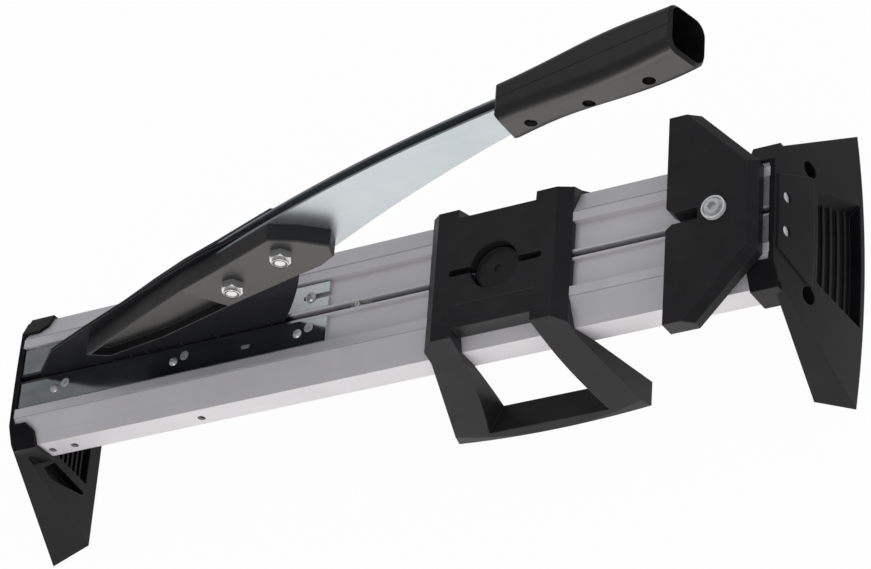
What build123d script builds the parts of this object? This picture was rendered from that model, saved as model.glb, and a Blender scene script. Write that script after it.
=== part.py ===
from build123d import *
import math
import os

# Laminate cutter: a slotted aluminium beam on two end feet, with a shear blade on a long lever at its
# left end, a sliding support astride its middle and an angle stop at its right end.
# X runs along the beam, Y to the back and Z up. The pieces are drawn about the beam's middle, then moved
# so that the origin is on the bench under the middle of the whole cutter.

ORIGIN_SHIFT = 10.0

# Fits, shared by all pieces
RUN_GAP = 0.3
PIN_GAP = 0.05
SCREW_GAP = 0.1
OVERRUN = 8.0

# Beam, an extrusion with a T-slot along its middle
BEAM_LENGTH = 800.0
BEAM_BOTTOM = 86.3
BEAM_HEIGHT = 37.45
BEAM_WIDTH = 139.4
SLOT_WIDTH = 5.86
RIB_WIDTH = 2.27
BED_DEPTH = 3.9
BED_HALF_WIDTH = 33.8
RIDGE_WIDTH = 10.0
RIDGE_RISE = 2.1
GROOVE_WIDTH = 0.9
GROOVE_DEPTH = 0.8
SIDE_HEIGHT = 25.9
LIP_THICKNESS = 3.35
CHANNEL_WIDTH = 21.0
BEAM_WALL = 3.0
WEB_THICKNESS = 2.5
PORT_RADIUS = 5.0
PORT_SPACING = 34.2
PORT_DROP = 13.3

# Screws that hold the beam's fittings
SCREW_RADIUS = 2.5
SCREW_LENGTH = 14.0
SOCKET_RADIUS = 1.7
SOCKET_DEPTH = 1.8
DOME_RADIUS = 4.7
DOME_HEIGHT = 3.0
SINK_RADIUS = 4.8
SINK_DEPTH = 2.6
FOOT_SCREW_RADIUS = 2.1
FOOT_SCREW_HEAD = 5.0
FOOT_SCREW_LENGTH = 24.0
ACCESS_RADIUS = 4.0
SIDE_SCREW_HEIGHT = 10.7

# Steel plates beside the slot
PLATE_INSET = 1.6
PLATE_LENGTH = 348.9
PLATE_WIDTH = 26.3
PLATE_GAP = 0.1
PLATE_SCREW_PITCH = 138.0
DOME_FROM_END = 31.5
DOME_OUT = 18.0
SINK_STEP = 12.0
SINK_OUT = 14.0
SIGHT_FROM_END = 88.5
SIGHT_LENGTH = 10.0
SIGHT_WIDTH = 4.0
SIGHT_OUT = 19.6
REAR_SLOT_WIDTH = 5.4
REAR_SLOT_LENGTH = 16.0
WASHER_RADIUS = 5.6
WASHER_THICKNESS = 1.0

# Pivot of the arm, in the beam's channel
PIVOT_INSET = 43.0
PIVOT_DROP = 21.75
PIVOT_RADIUS = 5.0
BUSH_RADIUS = 7.0
TANG_RADIUS = 12.0
CHEEK_LENGTH = 66.0
CHEEK_OVERHANG = 3.0
BLOCK_SCREW_SPACING = 26.0
BLOCK_SCREW_INSET = 30.0
GUIDE_INSET = 202.0
GUIDE_LENGTH = 34.0
GUIDE_DROP = 14.0
SLOT_STOP_INSET = 382.5
SLOT_STOP_LENGTH = 16.0

# Blade, as shares of its reach and of its height above the pivot
BLADE_THICKNESS = 3.9
BLADE_REACH = 256.0
BLADE_HEIGHT = 184.0
BLADE_TOP_SHARES = [
    (-0.047, 0.0), (-0.055, 0.155), (0.078, 0.326), (0.297, 0.459), (0.965, 0.837), (1.340, 0.985)
]
BLADE_BACK_SHARES = [(1.418, 0.870), (1.375, 0.750), (1.238, 0.473)]
BLADE_BELLY_SHARE = (1.131, 0.284)
BLADE_TIP_SHARES = [(1.012, 0.112), (1.001, 0.086)]
BLADE_HEEL_SHARES = [(0.055, 0.092), (0.047, 0.0)]
BLADE_HOLE_PITCH = 19.7
BLADE_HOLE_COUNT = 11
BLADE_HOLE_START = 49.0
BLADE_HOLE_RISE = 23.6
BLADE_HOLE_WIDTH = 1.9
BLADE_HOLE_HEIGHT = 5.0

# Carrier halves that clamp the blade and the lever
CARRIER_LENGTH = 319.0
CARRIER_HEIGHT = 124.0
CARRIER_START = 73.0
CARRIER_RISE = 61.0
CARRIER_TOP_SHARES = [
    (0.0, 0.089), (0.185, 0.315), (0.335, 0.492), (0.476, 0.645), (0.627, 0.782), (0.851, 0.998)
]
CARRIER_NOSE_SHARES = [(0.931, 0.893), (1.0, 0.747), (0.981, 0.607)]
CARRIER_FOOT_SHARES = [(0.917, 0.522), (0.831, 0.473), (0.566, 0.298), (0.282, 0.089), (0.066, 0.0)]
CARRIER_FRONT = 23.5
CARRIER_REAR = 11.0
CARRIER_BEVEL = 1.5
POCKET_DEPTH = 9.0
POCKET_RIM = 2.2
POCKET_STEP_SHARES = [(0.473, 0.62), (0.558, 0.30)]
BOLT_RADIUS = 5.9
BOLT_SHARES = [(0.634, 0.558), (0.851, 0.790)]
BOLT_HEAD_ACROSS = 19.0
BOLT_HEAD_HEIGHT = 7.5
BOLT_END = 9.5
NUT_ACROSS = 19.0
NUT_HEIGHT = 7.0
NUT_COLLAR_RADIUS = 7.9
HEX_CROWN = 1.4
BOLT_POINT = 1.2
NUT_COLLAR_HEIGHT = 3.2
SPACER_RADIUS = 11.0

# Lever, a steel channel open at the top
LEVER_WIDTH = 12.0
LEVER_WALL = 2.0
LEVER_START = 247.0
LEVER_REACH = 615.0
LEVER_TOP_RISE = 263.4
LEVER_BOW_SHARE = (0.488, 0.812)
LEVER_START_SHARE = 0.558
LEVER_FOOT_SHARES = [(0.0, 0.44), (0.30, 0.492), (0.3625, 0.483)]
LEVER_BELLY_SHARE = (0.684, 0.690)
LEVER_ROOT_SHARE = (0.998, 0.860)
TONGUE_LENGTH = 167.0
TONGUE_SLOPE = 10.0
TONGUE_HEIGHT = 18.0
TONGUE_LEAD = 22.0
TONGUE_RISE = 247.9

# Grip, two hollow halves round the lever's tongue
GRIP_START = 619.7
GRIP_RISE = 271.3
GRIP_SLOPE = 12.5
GRIP_LENGTH = 187.5
GRIP_WIDTH = 51.0
GRIP_HEIGHT = 47.0
GRIP_STATION_SHARES = [
    (-0.12, 0.79, 0.93), (0.12, 0.81, 0.88), (0.36, 0.91, 0.84),
    (0.6, 1.0, 0.90), (0.8, 0.97, 0.985), (0.985, 0.9, 1.0)
]
GRIP_TOP_RADIUS = 12.0
GRIP_FOOT_RADIUS = 15.0
GRIP_WALL = 3.0
GRIP_ROOT_RADIUS = 19.0
GRIP_ROOT_TOP_RADIUS = 6.0
GRIP_ROOT_PLAN_RADIUS = 16.0
GRIP_END_ROUNDING = 2.6
GRIP_SEAM_WIDTH = 0.7
GRIP_SEAM_DEPTH = 0.7
GRIP_SCREW_FIRST = 23.4
GRIP_SCREW_PITCH = 61.0
GRIP_SCREW_DROP = 22.5
GRIP_SCREW_SLOPE = 2.2
GRIP_SCREW_RADIUS = 2.0
GRIP_SCREW_REACH = 19.5
GRIP_SCREW_HEAD = 4.2
GRIP_BORE_RADIUS = 5.6
GRIP_BORE_DEPTH = 6.0
GRIP_BOSS_RADIUS = 7.5

# End feet, outer widths and depths at the bench and at the cap
FOOT_BASE_WIDTH = 281.4
FOOT_CAP_WIDTH = 124.0
FOOT_BASE_INNER_WIDTH = 250.0
FOOT_CAP_INNER_WIDTH = 122.0
FOOT_BASE_OUT = 27.1
FOOT_CAP_OUT = 4.0
FOOT_BASE_IN = 13.0
FOOT_CAP_IN = 0.6
FOOT_BULGE = 7.6
FOOT_CAP_BULGE = 1.0
EAR_REACH = 22.5
EAR_THICKNESS = 3.4
EAR_START = 50.0
EAR_CORNER = 8.0
EAR_SKIRT_DROP = 2.5
PANEL_RISE = 1.2
PANEL_TOP_WIDTH = 74.0
PANEL_BASE_WIDTH = 114.0
PANEL_TOP_DROP = 4.0
PANEL_BASE_DROP = 53.0
HOLE_RADIUS = 8.5
HOLE_OUT = 64.0
HOLE_HEIGHT = 76.0
HOLE_DEPTH = 14.0
LOUVRE_TOP = 67.0
LOUVRE_BASE = 5.0
LOUVRE_TOP_WIDTH = 98.0
LOUVRE_BASE_WIDTH = 132.0
LOUVRE_DEPTH = 11.0
LOUVRE_RUN = 30.0
LOUVRE_RIB = 2.6
LOUVRE_RIB_COUNT = 5
LOUVRE_RIB_RECESS = 8.3
WELL_RIB_RECESS = 4.0
WELL_TOP = 60.0
WELL_BASE = 15.0
WELL_TOP_WIDTH = 107.0
WELL_BASE_WIDTH = 130.0
WELL_DEPTH = 9.0
WELL_RIB_COUNT = 6
SLIM_WELL_SHARES = [(0.44, 0.495), (0.526, 0.61), (0.583, 0.528), (0.555, 0.138), (0.526, 0.142)]

# Sliding support, a saddle with an open frame at the front and back
SUPPORT_CENTRE = 133.5
SUPPORT_TOP_RISE = 13.25
SUPPORT_TOP_WIDTH = 122.0
SUPPORT_BED_WIDTH = 146.0
SUPPORT_BASE_WIDTH = 198.0
SUPPORT_TOP_INSET = 2.7
SUPPORT_HIP_WALL = 4.3
SUPPORT_SPREAD = 36.3
SUPPORT_BASE_BULGE = 4.5
SUPPORT_BASE_HEIGHT = 10.0
SUPPORT_BAR_HEIGHT = 10.0
SUPPORT_LEG_THICKNESS = 24.0
WINDOW_TOP_WIDTH = 80.0
WINDOW_BASE_WIDTH = 136.0
WINDOW_INNER_WIDTH = 77.0
WINDOW_LEDGE = 9.0
RECESS_RADIUS = 24.0
DISC_RADIUS = 23.3
DISC_THICKNESS = 4.6
DISC_RIM = 1.0
DIMPLE_RADIUS = 3.8
DIMPLE_DEPTH = 1.8
SLIT_WIDTH = 7.0
SLIT_LEFT_REACH = 47.0
SLIT_RIGHT_REACH = 48.5
LABEL_LENGTH = 89.0
LABEL_WIDTH = 19.0
LABEL_OUT = 43.5
LABEL_DEPTH = 0.8

# Angle stop, a hollow plate that turns about its clamp bolt
STOP_CENTRE = 356.0
STOP_LENGTH = 211.0
STOP_BACK = 47.0
STOP_NOSE = 38.0
STOP_NOSE_LENGTH = 90.0
STOP_SHOULDER = 19.0
STOP_THICKNESS = 17.8
STOP_BEVEL = 8.0
STOP_WALL = 3.5
STOP_NOTCH_DEPTH = 30.5
STOP_NOTCH_WIDTH = 12.0
STOP_MOUTH_WIDTH = 22.0
STOP_MOUTH_DEPTH = 6.0
STOP_BOSS_RADIUS = 14.0
STOP_WASHER_RADIUS = 11.4
STOP_WASHER_THICKNESS = 1.6
STOP_WASHER_RIM = 1.6
STOP_WASHER_CUP = 2.2
STOP_BOLT_HEAD_RADIUS = 7.5
STOP_BOLT_HEAD_HEIGHT = 4.4
STOP_SOCKET_RADIUS = 4.2
STOP_SOCKET_DEPTH = 3.0

# Slot nuts under the beam's lips
SLOT_BOLT_RADIUS = 2.6
SLOT_NUT_LENGTH = 22.0
SLOT_NUT_THICKNESS = 7.0

# Places worked out from the sizes above
BEAM_END = BEAM_LENGTH / 2
BEAM_TOP = BEAM_BOTTOM + BEAM_HEIGHT
BED = BEAM_TOP - BED_DEPTH
RIDGE_TOP = BEAM_TOP + RIDGE_RISE
LIP_BOTTOM = BED - LIP_THICKNESS
CHANNEL_FLOOR = BEAM_BOTTOM + BEAM_WALL
SIDE = BEAM_WIDTH / 2
SIDE_TOP = BEAM_BOTTOM + SIDE_HEIGHT
SLOT_EDGE = SLOT_WIDTH / 2
RIB_EDGE = SLOT_EDGE + RIB_WIDTH
RIDGE_EDGE = BED_HALF_WIDTH + RIDGE_WIDTH
SLOPE = (RIDGE_TOP - SIDE_TOP) / (SIDE - RIDGE_EDGE)
CHANNEL_EDGE = CHANNEL_WIDTH / 2
PORT_OUT = PORT_SPACING / 2
PORT_HEIGHT = BEAM_TOP - PORT_DROP
SIDE_SCREW_Z = BEAM_BOTTOM + SIDE_SCREW_HEIGHT
PIVOT_X = PIVOT_INSET - BEAM_END
PIVOT_Z = BEAM_TOP - PIVOT_DROP
BLOCK_SCREW_XS = [BLOCK_SCREW_INSET - BEAM_END, BLOCK_SCREW_INSET + BLOCK_SCREW_SPACING - BEAM_END]
GUIDE_X = GUIDE_INSET - BEAM_END
PLATE_START = PLATE_INSET - BEAM_END
PLATE_END = PLATE_START + PLATE_LENGTH
PLATE_EDGE = RIB_EDGE + PLATE_GAP
DOME_XS = [PLATE_END - DOME_FROM_END - PLATE_SCREW_PITCH * step for step in range(3)]
SINK_XS = [x + SINK_STEP for x in DOME_XS]
LEVER_EDGE = LEVER_WIDTH / 2
BLADE_EDGE = BLADE_THICKNESS / 2
FOOT_CAP = RIDGE_TOP
SUPPORT_TOP = BEAM_TOP + SUPPORT_TOP_RISE
STOP_BOTTOM = RIDGE_TOP + RUN_GAP
STOP_TOP = STOP_BOTTOM + STOP_THICKNESS


def polygon(points):
    return make_face(Polyline(*points, close=True))


def along_y(face, low, high):
    """Extrude a face drawn in X and Z from Y = low to Y = high."""
    return extrude(Plane.XZ.offset(-high) * face, amount=high - low)


def along_x(face, low, high):
    """Extrude a face drawn in Y and Z from X = low to X = high."""
    return extrude(Plane.YZ.offset(low) * face, amount=high - low)


def along_z(face, low, high):
    """Extrude a face drawn in X and Y from Z = low to Z = high."""
    return extrude(Plane.XY.offset(low) * face, amount=high - low)


def block(x_range, y_range, z_range):
    sizes = [high - low for low, high in (x_range, y_range, z_range)]
    middle = [(high + low) / 2 for low, high in (x_range, y_range, z_range)]
    return Pos(*middle) * Box(*sizes)


def rod_x(radius, low, high, y, z):
    return along_x(Pos(y, z) * Circle(radius), low, high)


def rod_y(radius, low, high, x, z):
    return along_y(Pos(x, z) * Circle(radius), low, high)


def rod_z(radius, low, high, x, y):
    return along_z(Pos(x, y) * Circle(radius), low, high)


def both_sides(points):
    """Close a half outline, listed from the middle outwards, with its mirror image across Y = 0."""
    return points + [(-y, z) for y, z in reversed(points)]


def from_pivot(shares, length, height, start=0.0, rise=0.0):
    """Turn shares of a length and a height into places in X and Z, measured from the arm's pivot."""
    return [(PIVOT_X + start + x * length, PIVOT_Z + rise + z * height) for x, z in shares]


# Beam and its fixed pieces

def slope_height(y):
    """Height of the beam's sloping shoulder at a distance y from the middle."""
    return RIDGE_TOP - (y - RIDGE_EDGE) * SLOPE


def beam_top_outline(gap):
    """Half outline of the beam's outside over its top, set off by a gap."""
    across = gap * (math.sqrt(1 + SLOPE * SLOPE) - SLOPE)
    shoulder = gap * (math.sqrt(1 + SLOPE * SLOPE) - 1) / SLOPE
    return [
        (RIB_EDGE + gap, BEAM_TOP + gap),
        (RIB_EDGE + gap, BED + gap),
        (BED_HALF_WIDTH - gap, BED + gap),
        (BED_HALF_WIDTH - gap, RIDGE_TOP + gap),
        (RIDGE_EDGE + shoulder, RIDGE_TOP + gap),
        (SIDE + gap, SIDE_TOP + across),
    ]


def beam_envelope(gap):
    """Face of the beam's outside, its slot filled, set off by a gap."""
    return polygon(both_sides(beam_top_outline(gap) + [(SIDE + gap, BEAM_BOTTOM - gap)]))


def side_chamber():
    """Hollow under the sloping shoulder."""
    drop = BEAM_WALL * math.sqrt(1 + SLOPE * SLOPE)
    wall = SIDE - BEAM_WALL
    roof = RIDGE_TOP - BEAM_WALL
    corner = RIDGE_EDGE + (RIDGE_TOP - drop - roof) / SLOPE
    inner = BED_HALF_WIDTH + WEB_THICKNESS
    return polygon([
        (inner, CHANNEL_FLOOR),
        (wall, CHANNEL_FLOOR),
        (wall, slope_height(wall) - drop),
        (corner, roof),
        (inner, roof),
    ])


def bed_chamber():
    """Hollow under the plate bed, with the screw port left in its corner."""
    inner = CHANNEL_EDGE + WEB_THICKNESS
    outer = BED_HALF_WIDTH
    roof = BED - BEAM_WALL
    hollow = polygon([(inner, CHANNEL_FLOOR), (outer, CHANNEL_FLOOR), (outer, roof), (inner, roof)])
    port = Pos(PORT_OUT, PORT_HEIGHT) * Circle(PORT_RADIUS)
    neck = polygon([
        (PORT_OUT - FOOT_SCREW_RADIUS, PORT_HEIGHT),
        (PORT_OUT + FOOT_SCREW_RADIUS, PORT_HEIGHT),
        (PORT_OUT + FOOT_SCREW_RADIUS, roof),
        (PORT_OUT - FOOT_SCREW_RADIUS, roof),
    ])
    return hollow - port - neck


def beam_section():
    channel = polygon([
        (-CHANNEL_EDGE, CHANNEL_FLOOR),
        (CHANNEL_EDGE, CHANNEL_FLOOR),
        (CHANNEL_EDGE, LIP_BOTTOM),
        (-CHANNEL_EDGE, LIP_BOTTOM),
    ])
    slot = polygon([
        (-SLOT_EDGE, CHANNEL_FLOOR),
        (SLOT_EDGE, CHANNEL_FLOOR),
        (SLOT_EDGE, BEAM_TOP + OVERRUN),
        (-SLOT_EDGE, BEAM_TOP + OVERRUN),
    ])
    section = beam_envelope(0) - channel - slot
    groove = Pos(RIDGE_EDGE, RIDGE_TOP) * Rectangle(GROOVE_WIDTH, 2 * GROOVE_DEPTH)
    section = section - groove - mirror(groove, about=Plane.YZ)
    for hollow in (side_chamber(), bed_chamber()):
        section -= hollow
        section -= mirror(hollow, about=Plane.YZ)
    for side in (-1, 1):
        section -= Pos(side * PORT_OUT, PORT_HEIGHT) * Circle(FOOT_SCREW_RADIUS)
    return section


def plate_screw_holes():
    """Threaded holes in the beds for every plate screw."""
    low = BED - BEAM_WALL - OVERRUN
    high = BED + OVERRUN
    front = [rod_z(SCREW_RADIUS, low, high, x, -DOME_OUT) for x in DOME_XS]
    front += [rod_z(SCREW_RADIUS, low, high, x, -SINK_OUT) for x in SINK_XS]
    rear = [rod_z(SCREW_RADIUS, low, high, x, DOME_OUT) for x in SINK_XS]
    return front + rear


def side_screw_holes():
    """Holes for the block and guide screws, with wide access holes through the outer walls."""
    holes = []
    for x in BLOCK_SCREW_XS + [GUIDE_X]:
        holes.append(rod_y(SCREW_RADIUS, -SIDE, SIDE, x, SIDE_SCREW_Z))
        for side in (-1, 1):
            near, far = sorted([side * (CHANNEL_EDGE + WEB_THICKNESS), side * (SIDE + OVERRUN)])
            holes.append(rod_y(ACCESS_RADIUS, near, far, x, SIDE_SCREW_Z))
    return holes


def base_beam():
    beam = along_x(beam_section(), -BEAM_END, BEAM_END)
    for hole in plate_screw_holes() + side_screw_holes():
        beam -= hole
    return beam


def plate_blank(side):
    near, far = sorted([side * PLATE_EDGE, side * (PLATE_EDGE + PLATE_WIDTH)])
    return block((PLATE_START, PLATE_END), (near, far), (BED, BEAM_TOP))


def countersink(x, y, spread):
    """Cone of a sunk head, widened by a spread, with its mouth at the plate's top."""
    cone = Cone(SCREW_RADIUS + spread, SINK_RADIUS + spread, SINK_DEPTH)
    return Pos(x, y, BEAM_TOP - SINK_DEPTH / 2) * cone


def front_cutting_plate():
    plate = plate_blank(-1)
    for x in DOME_XS:
        plate -= rod_z(SCREW_RADIUS + SCREW_GAP, BED - OVERRUN, BEAM_TOP + OVERRUN, x, -DOME_OUT)
    for x in SINK_XS:
        plate -= rod_z(SCREW_RADIUS + SCREW_GAP, BED - OVERRUN, BEAM_TOP + OVERRUN, x, -SINK_OUT)
        plate -= countersink(x, -SINK_OUT, SCREW_GAP)
    sight = Pos(PLATE_END - SIGHT_FROM_END, -SIGHT_OUT) * SlotOverall(SIGHT_LENGTH, SIGHT_WIDTH)
    return plate - along_z(sight, BED - OVERRUN, BEAM_TOP + OVERRUN)


def rear_cutting_plate():
    plate = plate_blank(1)
    for x in SINK_XS:
        slot = Pos(x, DOME_OUT) * SlotOverall(REAR_SLOT_LENGTH, REAR_SLOT_WIDTH)
        plate -= along_z(slot, BED - OVERRUN, BEAM_TOP + OVERRUN)
    near, far = DOME_OUT - REAR_SLOT_WIDTH / 2, DOME_OUT + REAR_SLOT_WIDTH / 2
    run_out = block((SINK_XS[0], PLATE_END + OVERRUN), (near, far), (BED - OVERRUN, BEAM_TOP + OVERRUN))
    return plate - run_out


def hex_socket(radius, depth):
    return extrude(RegularPolygon(radius, 6), amount=depth)


def dome_head(radius, height):
    """Spherical cap standing on Z = 0."""
    sphere_radius = (radius * radius + height * height) / (2 * height)
    ball = Pos(0, 0, height - sphere_radius) * Sphere(sphere_radius)
    return ball & (Pos(0, 0, height / 2) * Box(2 * radius, 2 * radius, height))


def dome_screw(x, y, seat):
    """Domed screw with a hexagon socket, its head on a seat height."""
    head = dome_head(DOME_RADIUS, DOME_HEIGHT)
    head -= Pos(0, 0, DOME_HEIGHT - SOCKET_DEPTH) * hex_socket(SOCKET_RADIUS, SOCKET_DEPTH)
    shank = Cylinder(SCREW_RADIUS - PIN_GAP, SCREW_LENGTH, align=(Align.CENTER, Align.CENTER, Align.MAX))
    return Pos(x, y, seat) * (head + shank)


def sunk_screw(x, y):
    head = countersink(0, 0, 0)
    head -= Pos(0, 0, BEAM_TOP - SOCKET_DEPTH) * hex_socket(SOCKET_RADIUS, SOCKET_DEPTH)
    shank = rod_z(SCREW_RADIUS - PIN_GAP, BEAM_TOP - SCREW_LENGTH, BEAM_TOP - SINK_DEPTH, 0, 0)
    return Pos(x, y, 0) * (head + shank)


def plate_dome_screws():
    return [dome_screw(x, -DOME_OUT, BEAM_TOP) for x in DOME_XS]


def plate_sunk_screws():
    return [sunk_screw(x, -SINK_OUT) for x in SINK_XS]


def rear_plate_screws():
    return [dome_screw(x, DOME_OUT, BEAM_TOP + WASHER_THICKNESS) for x in SINK_XS]


def rear_plate_washers():
    hole = SCREW_RADIUS + SCREW_GAP
    ring = Circle(WASHER_RADIUS) - Circle(hole)
    return [along_z(Pos(x, DOME_OUT) * ring, BEAM_TOP, BEAM_TOP + WASHER_THICKNESS) for x in SINK_XS]


# Pivot in the channel

def pivot_cheek(side):
    """One of the two blocks that hold the pivot pin beside the blade's tang."""
    near, far = sorted([side * (BLADE_EDGE + RUN_GAP), side * CHANNEL_EDGE])
    start = CHEEK_OVERHANG - BEAM_END
    cheek = block((start, start + CHEEK_LENGTH), (near, far), (CHANNEL_FLOOR, LIP_BOTTOM))
    cheek -= rod_y(PIVOT_RADIUS, -SIDE, SIDE, PIVOT_X, PIVOT_Z)
    for x in BLOCK_SCREW_XS:
        cheek -= rod_y(SCREW_RADIUS, -SIDE, SIDE, x, SIDE_SCREW_Z)
    return cheek


def pivot_pin():
    return rod_y(PIVOT_RADIUS, -CHANNEL_EDGE, CHANNEL_EDGE, PIVOT_X, PIVOT_Z)


def pivot_bush():
    ring = Circle(BUSH_RADIUS) - Circle(PIVOT_RADIUS + PIN_GAP)
    return along_y(Pos(PIVOT_X, PIVOT_Z) * ring, -BLADE_EDGE, BLADE_EDGE)


def side_screw(x, side, reach):
    """Screw through the channel's wall with its head in the side chamber."""
    seat = CHANNEL_EDGE + WEB_THICKNESS
    near, far = sorted([side * (seat - reach), side * seat])
    low, high = sorted([side * seat, side * (seat + DOME_HEIGHT)])
    head = rod_y(ACCESS_RADIUS - RUN_GAP, low, high, x, SIDE_SCREW_Z)
    return head + rod_y(SCREW_RADIUS - PIN_GAP, near, far, x, SIDE_SCREW_Z)


def block_screws():
    reach = WEB_THICKNESS + CHANNEL_EDGE - BLADE_EDGE - 2 * RUN_GAP
    return [side_screw(x, side, reach) for x in BLOCK_SCREW_XS for side in (-1, 1)]


def blade_guide():
    """Plain block in the channel below the blade's edge."""
    half = GUIDE_LENGTH / 2
    guide = block(
        (GUIDE_X - half, GUIDE_X + half),
        (-CHANNEL_EDGE, CHANNEL_EDGE),
        (CHANNEL_FLOOR, BEAM_TOP - GUIDE_DROP),
    )
    return guide - rod_y(SCREW_RADIUS, -SIDE, SIDE, GUIDE_X, SIDE_SCREW_Z)


def guide_screws():
    reach = WEB_THICKNESS + CHANNEL_EDGE - RUN_GAP
    return [side_screw(GUIDE_X, side, reach) for side in (-1, 1)]


def slot_nut(x, bore):
    """Block under the beam's lips, with a hole along Z for its screw."""
    half = SLOT_NUT_LENGTH / 2
    edge = CHANNEL_EDGE - RUN_GAP
    top = LIP_BOTTOM - RUN_GAP
    nut = block((x - half, x + half), (-edge, edge), (top - SLOT_NUT_THICKNESS, top))
    return nut - rod_z(bore, top - SLOT_NUT_THICKNESS - OVERRUN, top + OVERRUN, x, 0)


def slot_stop_nut():
    return Pos(0, 0, RUN_GAP) * slot_nut(SLOT_STOP_INSET - BEAM_END, SLOT_BOLT_RADIUS)


def slot_stop_screw():
    x = SLOT_STOP_INSET - BEAM_END
    screw = rod_z(SLOT_BOLT_RADIUS - PIN_GAP, BEAM_TOP - SLOT_STOP_LENGTH, BEAM_TOP, x, 0)
    return screw - Pos(x, 0, BEAM_TOP - SOCKET_DEPTH) * hex_socket(SOCKET_RADIUS, SOCKET_DEPTH)


# Swinging arm

def bolt_places():
    return from_pivot(BOLT_SHARES, CARRIER_LENGTH, CARRIER_HEIGHT, CARRIER_START, CARRIER_RISE)


def blade_outline():
    top = from_pivot(BLADE_TOP_SHARES, BLADE_REACH, BLADE_HEIGHT)
    back = from_pivot(BLADE_BACK_SHARES, BLADE_REACH, BLADE_HEIGHT)
    belly = from_pivot([BLADE_BELLY_SHARE], BLADE_REACH, BLADE_HEIGHT)[0]
    tip = from_pivot(BLADE_TIP_SHARES, BLADE_REACH, BLADE_HEIGHT)
    heel = from_pivot(BLADE_HEEL_SHARES, BLADE_REACH, BLADE_HEIGHT)
    upper = Polyline(*(top + back))
    curve = ThreePointArc(back[-1], belly, tip[0])
    lower = Polyline(*(tip + heel + [top[0]]))
    return make_face(Curve() + [upper, curve, lower])


def blade():
    """Flat shear blade with its tang, bush seat, bolt holes and the row of small slots."""
    face = blade_outline() + Pos(PIVOT_X, PIVOT_Z) * Circle(TANG_RADIUS)
    face -= Pos(PIVOT_X, PIVOT_Z) * Circle(BUSH_RADIUS)
    for x, z in bolt_places():
        face -= Pos(x, z) * Circle(BOLT_RADIUS + SCREW_GAP)
    for step in range(BLADE_HOLE_COUNT):
        x = PIVOT_X + BLADE_HOLE_START + step * BLADE_HOLE_PITCH
        upright = Rot(0, 0, 90) * SlotOverall(BLADE_HOLE_HEIGHT, BLADE_HOLE_WIDTH)
        face -= Pos(x, PIVOT_Z + BLADE_HOLE_RISE) * upright
    return along_y(face, -BLADE_EDGE, BLADE_EDGE)


def lever_outline():
    """Side view of the lever with its tongue."""
    start, end = LEVER_START, LEVER_REACH - LEVER_START
    top_left = from_pivot([(0, LEVER_START_SHARE)], end, LEVER_TOP_RISE, start)[0]
    bow = from_pivot([LEVER_BOW_SHARE], end, LEVER_TOP_RISE, start)[0]
    top_right = from_pivot([(1, 1)], end, LEVER_TOP_RISE, start)[0]
    foot = from_pivot(LEVER_FOOT_SHARES, end, LEVER_TOP_RISE, start)
    belly = from_pivot([LEVER_BELLY_SHARE], end, LEVER_TOP_RISE, start)[0]
    root = from_pivot([LEVER_ROOT_SHARE], end, LEVER_TOP_RISE, start)[0]
    slope = math.tan(math.radians(TONGUE_SLOPE))
    middle = PIVOT_Z + TONGUE_RISE
    lead_x = top_right[0] + TONGUE_LEAD
    end_x = top_right[0] + TONGUE_LENGTH
    lead_z = middle + TONGUE_LEAD * slope
    end_z = middle + TONGUE_LENGTH * slope
    half = TONGUE_HEIGHT / 2
    tongue = [
        top_right,
        (lead_x, lead_z + half),
        (end_x, end_z + half),
        (end_x, end_z - half),
        (lead_x, lead_z - half),
        root,
    ]
    top = ThreePointArc(top_left, bow, top_right)
    end_lines = Polyline(*tongue)
    under = ThreePointArc(root, belly, foot[-1])
    back = Polyline(*(list(reversed(foot)) + [top_left]))
    return make_face(Curve() + [top, end_lines, under, back]), foot[-1][0]


def lever_arm():
    """Steel channel with two walls and a web along its lower edge, open between the carrier halves."""
    outline, web_start = lever_outline()
    lever = along_y(outline, -LEVER_EDGE, LEVER_EDGE)
    inner = LEVER_EDGE - LEVER_WALL
    lever -= along_y(Pos(0, LEVER_WALL) * outline, -inner, inner)
    far_left = PIVOT_X + LEVER_START - OVERRUN
    lever -= block((far_left, web_start), (-inner, inner), (BEAM_TOP, PIVOT_Z + LEVER_TOP_RISE))
    for x, z in bolt_places():
        lever -= rod_y(BOLT_RADIUS + SCREW_GAP, -SIDE, SIDE, x, z)
    for x, z in grip_screw_places():
        lever -= rod_y(GRIP_SCREW_RADIUS + SCREW_GAP, -SIDE, SIDE, x, z)
    return lever


def blade_spacers():
    """Rings that fill the space between the blade and the lever's walls round each bolt."""
    ring = Circle(SPACER_RADIUS) - Circle(BOLT_RADIUS + SCREW_GAP)
    near, far = BLADE_EDGE, LEVER_EDGE - LEVER_WALL
    rings = []
    for x, z in bolt_places():
        rings.append(along_y(Pos(x, z) * ring, near, far))
        rings.append(along_y(Pos(x, z) * ring, -far, -near))
    return rings


def carrier_outline():
    shares = CARRIER_TOP_SHARES + CARRIER_NOSE_SHARES + CARRIER_FOOT_SHARES
    return polygon(from_pivot(shares, CARRIER_LENGTH, CARRIER_HEIGHT, CARRIER_START, CARRIER_RISE))


def carrier_half(outer):
    """Moulded half that stands on the blade and makes room for the lever's wall."""
    side = math.copysign(1, outer)
    near, far = sorted([side * BLADE_EDGE, outer])
    half = along_y(carrier_outline(), near, far)
    outer_edges = half.faces().sort_by(Axis.Y)[0 if side < 0 else -1].edges()
    half = chamfer(outer_edges, CARRIER_BEVEL)
    lever_face, web_start = lever_outline()
    near, far = sorted([0, side * LEVER_EDGE])
    half -= along_y(lever_face, near, far)
    for x, z in bolt_places():
        half -= rod_y(BOLT_RADIUS + SCREW_GAP, -SIDE, SIDE, x, z)
        half -= along_y(Pos(x, z) * Circle(SPACER_RADIUS), near, far)
    return half


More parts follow.
